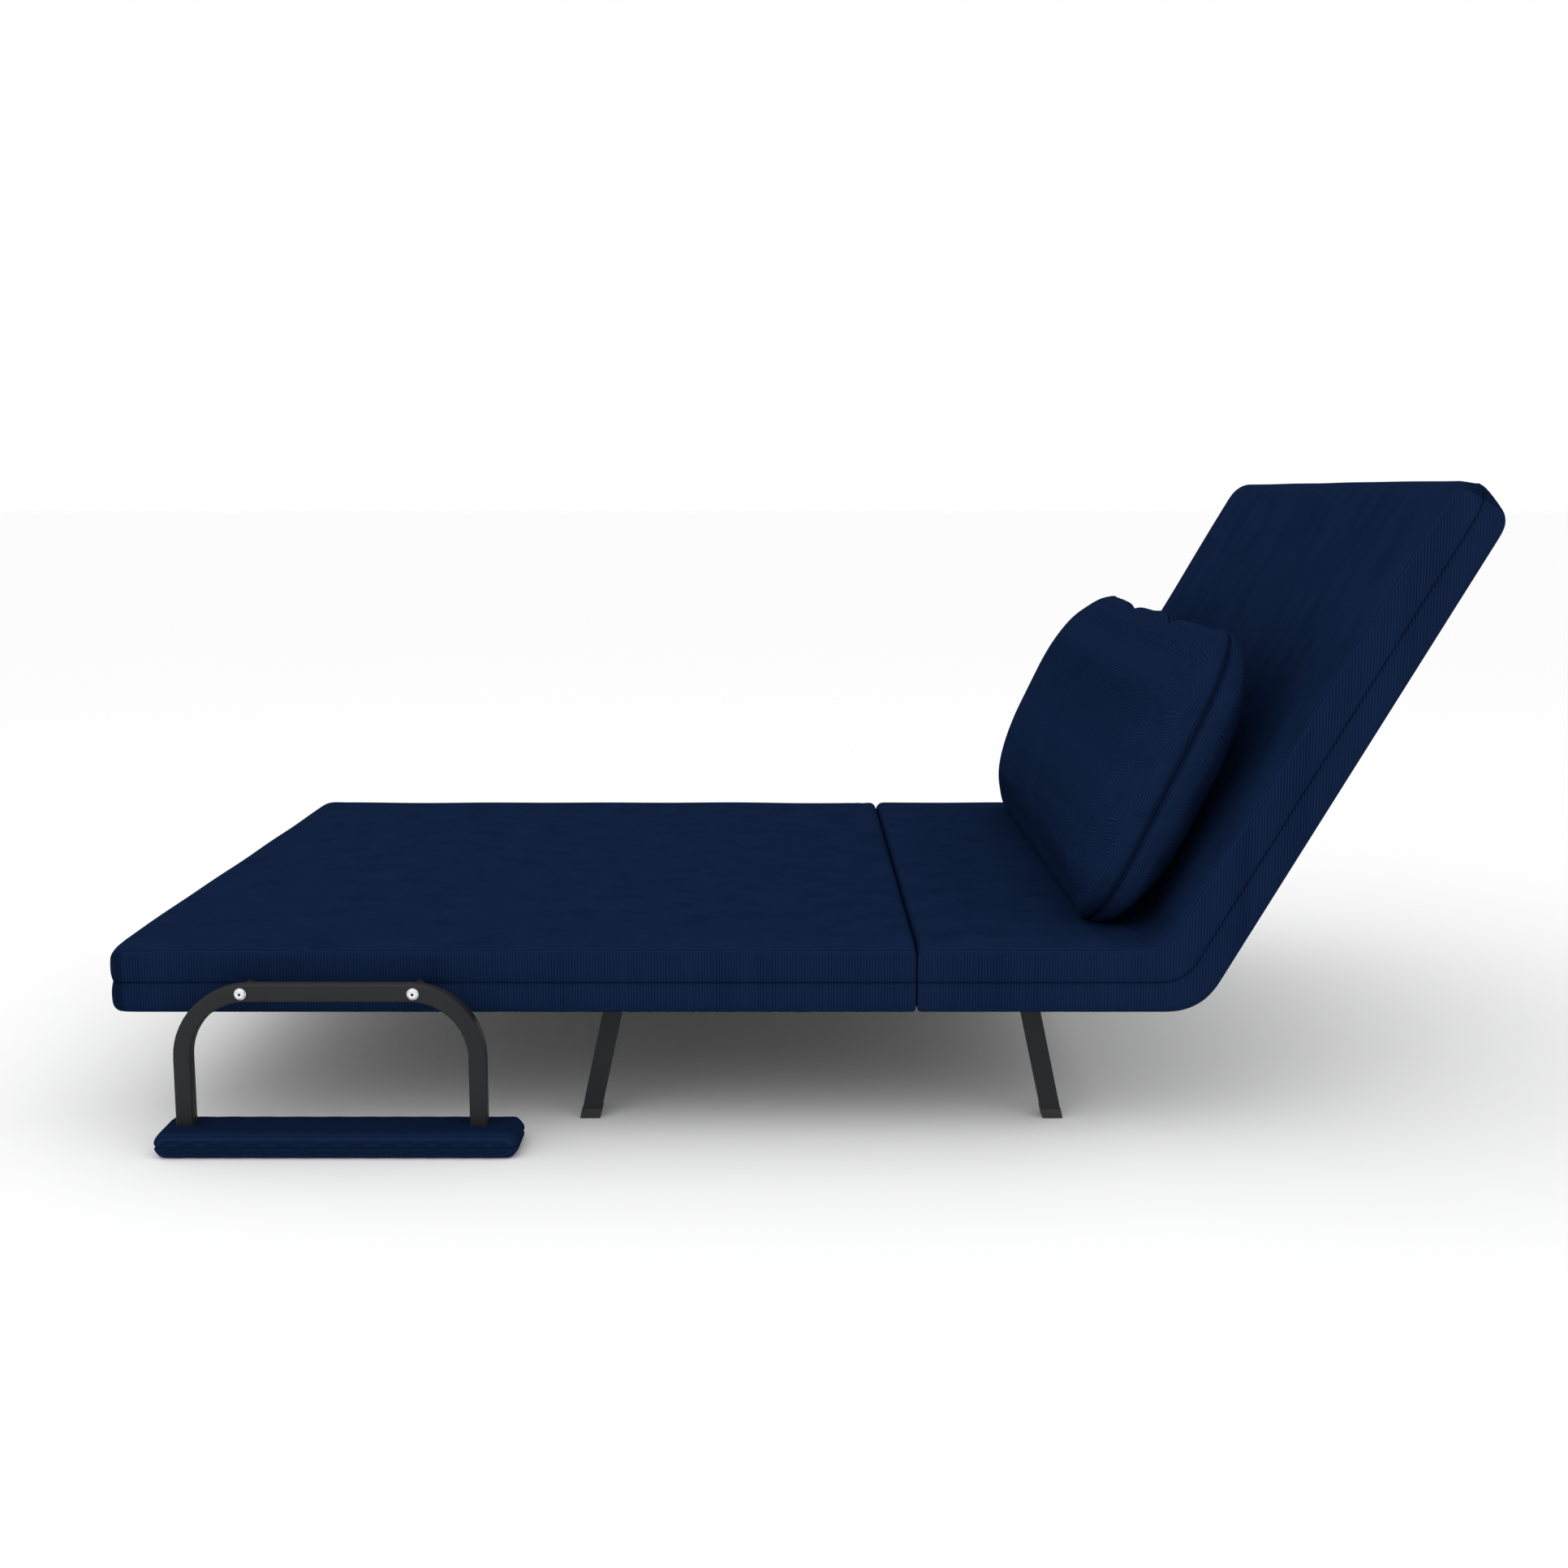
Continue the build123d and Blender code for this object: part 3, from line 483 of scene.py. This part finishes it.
front_length = crease_x - crease_gap - foot_low.x
mattress_front = soft_block("mattress_front", (92, 88, 9))
facts = shape_pad(
    mattress_front, front_length, bed_width, pad_low, pad_high, side_seam_up,
    mattress_rims, (True, False), 0.72)
points = places(mattress_front)
points[:, 0] += foot_low.x
points[:, 2] += np.where(facts["on_top"], rumple(points), 0)
for side in (-1, 1):
    edge = side * bed_width / 2
    for back_off, depth in ((0.020, 0.0016), (0.034, 0.0009)):
        mark = fold_mark(
            points, (crease_x - back_off, edge + side * 0.02),
            (crease_x - back_off - 0.012, edge - side * 0.13), 0.007, depth)
        points[:, 2] += np.where(facts["on_top"], mark, 0)
for node in ("foot_underside_cloth", "base_underside_cloth"):
    cloth_low, cloth_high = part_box(node)
    points[:, 2] += recess_for_lining(points, facts, cloth_low, cloth_high)
put(mattress_front, points)
end_wall = np.clip((foot_low.x + mattress_rims["corner"] * 0.35 - points[:, 0]) / 0.01, 0, 1)
side_run = points[:, 0] * (1 - end_wall) + points[:, 1] * end_wall
set_weave(mattress_front, side_run, points[:, 1], facts["panel"], facts["seam"])
smooth_piece(mattress_front)
wear([mattress_front], corduroy)
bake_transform(mattress_front)
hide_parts("foot_cushion", "seat_cushion_front")

bend_reach = 0.09
outer_bend_radius = 0.066
inner_bend_radius = 0.028
back_end = extent("back_cushion", up_back)[1]
seat_run = pivot.x - crease_x - crease_gap
back_rims = {
    "side_top": (0.044, 0.013), "end_top": (0.040, 0.040),
    "side_bottom": (0.007, 0.006), "end_bottom": (0.045, 0.045), "bulge": 0.001,
    "corner": 0.045, "squareness": 2.4,
}


def bend_up(run, height):
    """Bend a straight pad at the back's pivot; run is along it from the pivot, height above it.

    Each layer goes round its own curve, tighter at the top than underneath.
    """
    half_turn = math.tan(back_rise / 2)
    below = pad_low - pivot.z
    above = pad_high - pivot.z
    radius = outer_bend_radius + (inner_bend_radius - outer_bend_radius) * (height - below) / (above - below)
    corner = height * half_turn
    tangent = radius * half_turn
    straight = bend_reach - corner - tangent
    arc = radius * back_rise
    total = 2 * straight + arc
    inside = np.clip((run + bend_reach) / (2 * bend_reach), 0, 1) * total
    beyond = np.clip(run - bend_reach, 0, None)
    before = np.clip(run + bend_reach, None, 0)
    turn = np.clip((inside - straight) / radius, 0, back_rise)
    first = np.minimum(inside, straight)
    last = np.clip(inside - straight - arc, 0, None) + beyond
    x = -bend_reach + first + before + radius * np.sin(turn) + last * math.cos(back_rise)
    z = height + radius * (1 - np.cos(turn)) + last * math.sin(back_rise)
    return x + pivot.x, z + pivot.z


mattress_rear = soft_block("mattress_rear", (104, 88, 9))
rear_length = seat_run + back_end
facts = shape_pad(
    mattress_rear, rear_length, bed_width, pad_low - pivot.z, pad_high - pivot.z, side_seam_up,
    back_rims, (False, True), 0.55)
points = places(mattress_rear)
points[:, 0] -= seat_run
lift = rumple(points)
for side in (-1, 1):
    edge = side * (bed_width / 2 + 0.015)
    for start_run, end_run, inward, depth in (
            (0.004, -0.085, 0.115, 0.0030), (0.030, -0.045, 0.13, 0.0022), (0.055, 0.020, 0.11, 0.0016)):
        lift += fold_mark(points, (start_run, edge), (end_run, edge - side * inward), 0.008, depth)
points[:, 2] += np.where(facts["on_top"], lift, 0)
seat_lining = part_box("base_underside_cloth")[1].x - pivot.x
rear_lining = extent("back_rear_cloth", up_back)
lining_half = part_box("back_rear_cloth")[1].y
points[:, 2] += recess_for_lining(points, facts, (-1.0, 0), (seat_lining, lining_half))
points[:, 2] += recess_for_lining(points, facts, (rear_lining[0], 0), (rear_lining[1], lining_half))
flat_run = points[:, 0].copy()
points[:, 0], points[:, 2] = bend_up(points[:, 0], points[:, 2])
put(mattress_rear, points)
end_wall = np.clip((flat_run - back_end + back_rims["corner"] * 0.35) / 0.01, 0, 1)
side_run = points[:, 0] * (1 - end_wall) + points[:, 1] * end_wall
set_weave(mattress_rear, side_run, points[:, 1], facts["panel"], facts["seam"])
smooth_piece(mattress_rear)
wear([mattress_rear], corduroy)
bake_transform(mattress_rear)
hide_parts("seat_cushion_rear", "back_cushion")

# ---- Arm loops ----
# One square steel tube a side, bent to a flat-topped loop and powder coated.
# Two bolts through spacers hold each to the foot frame, and its cut ends stand on the pad's board.
tube_edge_radius = 0.0022
bend_steps = 14
loop_bend_radius = 0.078


def swept_loop(node, name):
    """Sweep a rounded square section up one side of a loop, over its bar and down the other."""
    low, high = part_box(node)
    tube = high.y - low.y
    form = bmesh.new()
    bmesh.ops.create_grid(form, x_segments=1, y_segments=1, size=tube / 2)
    bmesh.ops.bevel(
        form, geom=form.verts[:], offset=tube_edge_radius, affect="VERTICES", segments=4,
        profile=0.5, material=-1)
    bmesh.ops.translate(form, verts=form.verts, vec=(low.x + tube / 2, (low.y + high.y) / 2, low.z))
    ring = [e for e in form.edges if e.is_boundary]

    def lengthen(edges, move):
        made = bmesh.ops.extrude_edge_only(form, edges=edges)["geom"]
        bmesh.ops.translate(form, verts=[g for g in made if isinstance(g, bmesh.types.BMVert)], vec=move)
        return [g for g in made if isinstance(g, bmesh.types.BMEdge) and g.is_boundary]

    def turn(edges, centre):
        made = bmesh.ops.spin(
            form, geom=edges, cent=centre, axis=(0, 1, 0), angle=math.pi / 2, steps=bend_steps)
        return [g for g in made["geom_last"] if isinstance(g, bmesh.types.BMEdge)]

    rise = high.z - tube / 2 - loop_bend_radius - low.z
    ring = lengthen(ring, (0, 0, rise))
    ring = turn(ring, (low.x + tube / 2 + loop_bend_radius, 0, low.z + rise))
    ring = lengthen(ring, (high.x - low.x - tube - 2 * loop_bend_radius, 0, 0))
    ring = turn(ring, (high.x - tube / 2 - loop_bend_radius, 0, low.z + rise))
    ring = lengthen(ring, (0, 0, -rise))
    bmesh.ops.contextual_create(form, geom=ring)
    bmesh.ops.recalc_face_normals(form, faces=form.faces)
    mesh = bpy.data.meshes.new(name)
    form.to_mesh(mesh)
    form.free()
    piece = bpy.data.objects.new(name, mesh)
    bpy.context.scene.collection.objects.link(piece)
    return piece


for side in ("near", "far"):
    loop = swept_loop(f"arm_loop_{side}", f"arm_loop_tube_{side}")
    loop.data.polygons.foreach_set("use_smooth", [True] * len(loop.data.polygons))
    loop.data.set_sharp_from_angle(angle=math.radians(35))
    wear([loop], powder_coat)
    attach(loop, "foot_section")
    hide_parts(f"arm_loop_{side}")

# ---- Arm bolts ----
# Button-head socket bolts in bright zinc: a domed head, a flat rim and a hexagonal socket.
socket_radius = 0.0018
socket_depth = 0.0010
dome_rise = 0.0030


def button_head(name, centre, side, radius):
    """Spin a domed head with a socket, its flat seat on the washer, facing out to one side."""
    form = bmesh.new()
    hexagon = bmesh.ops.create_circle(form, cap_ends=True, radius=socket_radius, segments=6)
    bmesh.ops.translate(form, verts=hexagon["verts"], vec=(0, 0, dome_rise - socket_depth))
    sides = [e for e in form.edges if e.is_boundary]
    made = bmesh.ops.extrude_edge_only(form, edges=sides)["geom"]
    lip = [g for g in made if isinstance(g, bmesh.types.BMVert)]
    bmesh.ops.translate(form, verts=lip, vec=(0, 0, socket_depth))
    lip_edges = [g for g in made if isinstance(g, bmesh.types.BMEdge) and g.is_boundary]
    steps = 6
    first = bmesh.ops.create_circle(form, radius=socket_radius * 1.35, segments=36)
    bmesh.ops.translate(form, verts=first["verts"], vec=(0, 0, dome_rise))
    ring = [e for e in form.edges if e.is_wire]
    bmesh.ops.bridge_loops(form, edges=lip_edges + ring)
    for step in range(1, steps + 1):
        angle = math.pi / 2 * step / steps
        size = socket_radius * 1.35 + (radius - socket_radius * 1.35) * math.sin(angle)
        drop = dome_rise * 0.75 * (1 - math.cos(angle))
        before = Vector(first["verts"][0].co).to_2d().length if step == 1 else last_size
        made = bmesh.ops.extrude_edge_only(form, edges=ring)["geom"]
        verts = [g for g in made if isinstance(g, bmesh.types.BMVert)]
        bmesh.ops.scale(form, verts=verts, vec=(size / before, size / before, 1))
        bmesh.ops.translate(form, verts=verts, vec=(0, 0, dome_rise - drop - verts[0].co.z))
        ring = [g for g in made if isinstance(g, bmesh.types.BMEdge) and g.is_boundary]
        last_size = size
    made = bmesh.ops.extrude_edge_only(form, edges=ring)["geom"]
    verts = [g for g in made if isinstance(g, bmesh.types.BMVert)]
    bmesh.ops.translate(form, verts=verts, vec=(0, 0, -verts[0].co.z))
    ring = [g for g in made if isinstance(g, bmesh.types.BMEdge) and g.is_boundary]
    bmesh.ops.contextual_create(form, geom=ring)
    bmesh.ops.recalc_face_normals(form, faces=form.faces)
    lay = Matrix.Rotation(-side * math.pi / 2, 4, "X")
    bmesh.ops.transform(form, matrix=Matrix.Translation(centre) @ lay, verts=form.verts)
    mesh = bpy.data.meshes.new(name)
    form.to_mesh(mesh)
    form.free()
    piece = bpy.data.objects.new(name, mesh)
    bpy.context.scene.collection.objects.link(piece)
    piece.data.polygons.foreach_set("use_smooth", [True] * len(piece.data.polygons))
    piece.data.set_sharp_from_angle(angle=math.radians(40))
    return piece


bolt_low, bolt_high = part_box("arm_bolts")
head_radius = (bolt_high.z - bolt_low.z) / 2
washer_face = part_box("arm_washers")[1].y
heads = []
for side, label in ((-1, "near"), (1, "far")):
    for x, end in ((bolt_low.x + head_radius, "foot"), (bolt_high.x - head_radius, "fold")):
        centre = Vector((x, side * washer_face, bolt_low.z + head_radius))
        heads.append(button_head(f"arm_bolt_{label}_{end}", centre, side, head_radius))
wear(heads, bright_zinc)
for head in heads:
    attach(head, "foot_section")
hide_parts("arm_bolts")

# ---- Padded arm bars ----
# A plywood board in a flat foam sleeve of the same corduroy, closed by a seam round its edge.
# The loop's ends pass through the sleeve and stand on the board.
plywood, plywood_shader = new_finish("birch_plywood", {"Roughness": 0.6})
plywood_place = add_node(plywood, "TexCoord")
plywood_stretch = add_node(
    plywood, "Mapping", {"Scale": (1.0, 14.0, 40.0)}, {"Vector": (plywood_place, "Object")})
plywood_grain = add_node(
    plywood, "TexNoise", {"Scale": 1 / 0.06, "Detail": 6.0}, {"Vector": (plywood_stretch, "Vector")})
plywood_tone = add_node(
    plywood, "ValToRGB", links={"Fac": (plywood_grain, "Fac")},
    shades=((0.3, "#a9825a"), (0.7, "#cfae83")))
plywood_bump = add_node(
    plywood, "Bump", {"Strength": 0.3, "Distance": 0.0003}, {"Height": (plywood_grain, "Fac")})
feed(plywood, plywood_shader, Base_Color=(plywood_tone, "Color"), Normal=(plywood_bump, "Normal"))
wear([nodes["arm_boards"]], plywood)

sleeve_rims = {
    "side_top": (0.012, 0.008), "end_top": (0.012, 0.009),
    "side_bottom": (0.010, 0.007), "end_bottom": (0.010, 0.008), "bulge": 0.001,
    "corner": 0.013, "squareness": 2.0,
}
pucker_step = 0.037


def arm_sleeve(name, node):
    """Make one padded sleeve, slightly puckered along its long seams."""
    low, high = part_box(node)
    piece = soft_block(name, (70, 18, 9))
    length = high.x - low.x
    facts = shape_pad(
        piece, length, high.y - low.y, low.z, high.z, 0.013, sleeve_rims, (True, True), 0.5)
    points = places(piece)
    wave = np.sin(2 * math.pi * points[:, 0] / pucker_step + 1.3 * np.sin(points[:, 0] * 19.0))
    near_edge = np.clip(1 - facts["inset"] / sleeve_rims["corner"], 0, 1)
    points[:, 1] -= np.sign(points[:, 1]) * 0.0004 * wave * near_edge
    points[:, 2] += np.where(facts["on_top"], 0.0004 * wave * near_edge, 0)
    points[:, 0] += low.x
    points[:, 1] += (low.y + high.y) / 2
    put(piece, points)
    # The seam mask is scaled to 0.6, so the sleeve's seams get a lighter painted shade.
    set_weave(piece, points[:, 1], points[:, 1], 0 * points[:, 1], 0.6 * facts["seam"])
    smooth_piece(piece)
    wear([piece], corduroy)
    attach(piece, "foot_section")
    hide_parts(node)


arm_sleeve("arm_sleeve_near", "arm_pad_near")
arm_sleeve("arm_sleeve_far", "arm_pad_far")

# ---- Pillow ----
# A loose, full pillow with a narrow end panel, sewn of the same corduroy and stuffed with fibre.
# Its front sags into a few long soft folds, and the ribs ripple towards its ends.
pillow_low, pillow_high = extent("pillow", up_back)
pillow_rear, pillow_front = extent("pillow", out_of_back)
pillow_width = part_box("pillow")[1].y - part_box("pillow")[0].y
pillow_height = pillow_high - pillow_low
pillow_depth = pillow_front - pillow_rear
slack_share = 0.9
swell_cap = 0.016
pillow_corner = 0.10
pillow_lean = math.radians(5.0)
pillow_forward = 0.006
pillow_sink = 0.016
pillow_seam_row = 4
full_size = (pillow_width, pillow_height + 0.014, pillow_depth + 0.004)


def swell(piece, cap, frames=20, pressure=4.0):
    """Blow a closed cloth form up with air pressure, and cap how far each point goes."""
    before = places(piece)
    cloth = piece.modifiers.new("filling", "CLOTH")
    cloth.settings.use_pressure = True
    cloth.settings.uniform_pressure_force = pressure
    cloth.settings.effector_weights.gravity = 0
    cloth.settings.quality = 6
    cloth.settings.mass = 0.3
    cloth.settings.tension_stiffness = 12
    cloth.settings.compression_stiffness = 12
    cloth.settings.bending_stiffness = 0.4
    cloth.point_cache.frame_start = 1
    cloth.point_cache.frame_end = frames
    scene = bpy.context.scene
    for number in range(1, frames + 1):
        scene.frame_set(number)
    solved = piece.evaluated_get(bpy.context.evaluated_depsgraph_get()).to_mesh()
    after = np.zeros(len(before) * 3)
    solved.vertices.foreach_get("co", after)
    piece.modifiers.remove(cloth)
    scene.frame_set(1)
    move = after.reshape(-1, 3) - before
    length = np.linalg.norm(move, axis=1, keepdims=True)
    put(piece, before + move * np.minimum(1, cap / np.maximum(length, 1e-9)))


pillow = soft_block("pillow_cover", (84, 40, 7))
share = places(pillow)
level = np.rint((share[:, 2] + 1) / 2 * 8)
across = crowd(share[:, 0], 0.6) * pillow_width / 2
upward = crowd(share[:, 1], 0.6) * pillow_height / 2
over_x = np.clip(np.abs(across) - (pillow_width / 2 - pillow_corner), 0, None)
over_y = np.clip(np.abs(upward) - (pillow_height / 2 - pillow_corner), 0, None)
reach = np.hypot(over_x, over_y)
most = np.maximum(over_x, over_y)
squeeze = np.where(reach > 1e-9, most / np.maximum(reach, 1e-9), 1.0)
flat_across = np.sign(across) * (np.abs(across) - over_x + over_x * squeeze)
flat_upward = np.sign(upward) * (np.abs(upward) - over_y + over_y * squeeze)
lens = np.clip(1 - np.abs(flat_upward / (pillow_height / 2)) ** 2.6, 0, 1) ** 0.6
end_panel = 0.62 + 0.38 * np.sqrt(np.clip(1 - np.abs(flat_across / (pillow_width / 2)) ** 6, 0, 1))
thickness = pillow_depth * slack_share * np.maximum(lens, 0.16) * end_panel
through = share[:, 2] * thickness / 2
put(pillow, np.stack([flat_across * 0.97, flat_upward * 0.97, through], axis=1))
swell(pillow, swell_cap)
filled = bmesh.new()
filled.from_mesh(pillow.data)
for step in range(5):
    bmesh.ops.smooth_vert(
        filled, verts=filled.verts, factor=0.5, use_axis_x=True, use_axis_y=True, use_axis_z=True)
filled.to_mesh(pillow.data)
filled.free()
points = places(pillow)
for axis, full in enumerate(full_size):
    least, most_out = points[:, axis].min(), points[:, axis].max()
    points[:, axis] = (points[:, axis] - (least + most_out) / 2) * full / (most_out - least)
rim_points = np.abs(share[:, 2]) < 0.999
on_seam = rim_points & (np.abs(level - pillow_seam_row) < 0.5)
outward = np.stack([np.sign(across) * over_x, np.sign(upward) * over_y], axis=1)
outward /= np.maximum(np.linalg.norm(outward, axis=1, keepdims=True), 1e-9)
points[:, 0] -= outward[:, 0] * np.where(on_seam, 0.003, 0)
points[:, 1] -= outward[:, 1] * np.where(on_seam, 0.003, 0)
height_share = points[:, 1] / (pillow_height / 2)
front_share = np.clip(points[:, 2] / (pillow_depth / 2), 0, 1)
for place, bow, width, depth in ((-0.08, 0.14, 0.034, 0.010), (0.22, 0.10, 0.050, 0.005)):
    line = place + bow * (1 - height_share ** 2) + 0.008 * np.sin(5 * height_share)
    groove = np.exp(-((points[:, 0] - line) / width) ** 2)
    ridge = np.exp(-((points[:, 0] - line - 1.9 * width) / (1.4 * width)) ** 2)
    shift = depth * (0.25 * ridge - groove)
    points[:, 2] += shift * front_share * np.clip(1.1 - 0.5 * np.abs(height_share), 0, 1)
    points[:, 1] += 1.6 * shift * np.clip(height_share, 0, 1) ** 4
near_ends = np.clip((np.abs(points[:, 0]) - 0.18) / 0.25, 0, 1)
ripple = 0.006 * near_ends * (
    np.sin(points[:, 0] * 160 + 2.1 * np.sin(points[:, 1] * 40))
    + 0.6 * np.sin(points[:, 0] * 310 + points[:, 1] * 55))
panel = np.where(rim_points, 1.0, 0.0)
set_weave(pillow, points[:, 2] + 0.6 * ripple, points[:, 1] + ripple, panel, on_seam)
half_depth = pillow_depth / 2
lean = Matrix.Rotation(pillow_lean, 3, "X")
hinge = np.array((0, -pillow_height / 2, -half_depth))
leaned = (points - hinge) @ np.array(lean.transposed()) + hinge
centre = np.array(pivot) + np.array(up_back) * ((pillow_low + pillow_high) / 2 - pillow_sink)
centre += np.array(out_of_back) * ((pillow_rear + pillow_front) / 2 + pillow_forward)
placed = centre + np.outer(leaned[:, 0], (0, 1, 0))
placed += np.outer(leaned[:, 1], up_back) + np.outer(leaned[:, 2], out_of_back)
put(pillow, placed)
turned = bmesh.new()
turned.from_mesh(pillow.data)
bmesh.ops.recalc_face_normals(turned, faces=turned.faces)
turned.to_mesh(pillow.data)
turned.free()
smooth_piece(pillow, 2)
wear([pillow], corduroy)
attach(pillow, "loose_pillow")
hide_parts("pillow")

# ---- Room: floor, light and camera ----
# A plain pale floor, even studio light from a white room, and two large soft lamps.
floor_form = bmesh.new()
bmesh.ops.create_grid(floor_form, x_segments=1, y_segments=1, size=80.0)
floor_mesh = bpy.data.meshes.new("floor")
floor_form.to_mesh(floor_mesh)
floor_form.free()
floor = bpy.data.objects.new("floor", floor_mesh)
bpy.context.scene.collection.objects.link(floor)
floor_paint, floor_shader = new_finish(
    "pale_floor", {"Base Color": linear("#fcfcfc"), "Roughness": 0.9, "Specular IOR Level": 0.1})
floor.data.materials.append(floor_paint)

world = bpy.data.worlds.new("white_room")
world.use_nodes = True
world.node_tree.nodes["Background"].inputs["Color"].default_value = (1, 1, 1, 1)
world.node_tree.nodes["Background"].inputs["Strength"].default_value = 1.0
bpy.context.scene.world = world
bpy.context.scene.view_settings.view_transform = "Standard"

for name, place, size, power in (
        ("key_lamp", (-1.2, -3.0, 3.0), 2.5, 15.0), ("fill_lamp", (1.8, -1.5, 3.2), 2.5, 8.0)):
    lamp = bpy.data.lights.new(name, "AREA")
    lamp.size = size
    lamp.energy = power
    stand = bpy.data.objects.new(name, lamp)
    stand.location = place
    stand.rotation_euler = (Vector((0, 0, 0.3)) - Vector(place)).to_track_quat("-Z", "Y").to_euler()
    bpy.context.scene.collection.objects.link(stand)

camera_data = bpy.data.cameras.new("camera")
camera_data.lens = 43.45
camera_data.sensor_width = 36.0
camera_data.shift_x = -0.0012
camera = bpy.data.objects.new("camera", camera_data)
camera.location = (-0.012, -2.7241, 0.766)
camera.rotation_euler = (math.radians(81.272), 0, 0)
bpy.context.scene.collection.objects.link(camera)
bpy.context.scene.camera = camera
